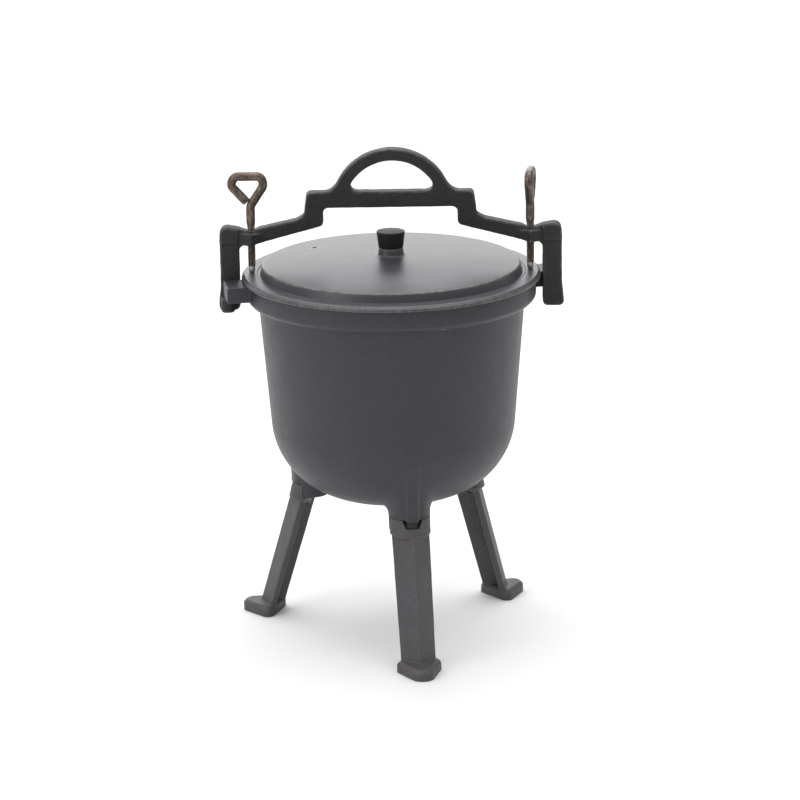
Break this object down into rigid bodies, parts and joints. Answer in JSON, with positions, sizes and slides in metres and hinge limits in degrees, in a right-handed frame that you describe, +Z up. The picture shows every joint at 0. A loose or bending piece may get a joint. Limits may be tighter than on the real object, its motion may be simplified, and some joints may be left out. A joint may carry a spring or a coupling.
{
  "type": "dutch oven",
  "caption": "Legged cast iron dutch oven with a flat lid held down by a hooked yoke handle and eye screws",
  "frame": {"origin": "on the pot axis at the floor, under the middle of the bowl", "axes": "+Z up, the two lugs along X, the front leg along -Y"},
  "size_m": [0.3308, 0.3075, 0.4824],
  "materials": {
    "pot_iron": "fine-grained dark cast iron",
    "lid_iron": "smooth satin cast iron",
    "yoke_iron": "rough sand-cast iron with worn edges",
    "leg_iron": "cast iron with a trace of rust on the edges",
    "screw_steel": "oxidised brown steel rod",
    "bolt_steel": "dull plated steel",
    "knob_black": "black phenolic",
    "brass": "turned brass"
  },
  "bodies": {
    "pot": {"pot": "pot_iron", "leg_front": "leg_iron", "leg_left": "leg_iron", "leg_right": "leg_iron", "leg_bolt_front": "bolt_steel", "leg_bolt_left": "bolt_steel", "leg_bolt_right": "bolt_steel", "leg_washer_front": "bolt_steel", "leg_washer_left": "bolt_steel", "leg_washer_right": "bolt_steel"},
    "lid": {"lid": "lid_iron", "knob": "knob_black", "knob_insert": "brass", "knob_screw": "bolt_steel", "knob_washer": "bolt_steel"},
    "yoke": {"yoke": "yoke_iron"},
    "left_tip": {"screw_left_tip": "screw_steel"},
    "left_screw": {"screw_left": "screw_steel"},
    "right_tip": {"screw_right_tip": "screw_steel"},
    "right_screw": {"screw_right": "screw_steel"}
  },
  "joints": [
    {"name": "lid_turn", "type": "hinge", "parent": "pot", "child": "lid", "pos_m": [0, 0, 0.3573], "axis": [0, 0, 1], "continuous": true},
    {"name": "yoke_turn", "type": "hinge", "parent": "pot", "child": "yoke", "pos_m": [0, 0, 0.341], "axis": [0, 0, 1], "range_deg": [-30, 0]},
    {"name": "left_screw_travel", "type": "slide", "parent": "yoke", "child": "left_tip", "axis": [0, 0, 1], "range_m": [0, 0.018]},
    {"name": "left_screw_turn", "type": "hinge", "parent": "left_tip", "child": "left_screw", "pos_m": [-0.1322, 0.02189, 0.4], "axis": [0, 0, 1], "range_deg": [0, 5185]},
    {"name": "right_screw_travel", "type": "slide", "parent": "yoke", "child": "right_tip", "axis": [0, 0, 1], "range_m": [0, 0.018]},
    {"name": "right_screw_turn", "type": "hinge", "parent": "right_tip", "child": "right_screw", "pos_m": [0.1322, -0.02189, 0.4], "axis": [0, 0, 1], "range_deg": [0, 5185]}
  ],
  "couplings": [
    {"joint": "left_screw_turn", "follows": "left_screw_travel", "rad_per_m": 5026.5},
    {"joint": "right_screw_turn", "follows": "right_screw_travel", "rad_per_m": 5026.5}
  ]
}
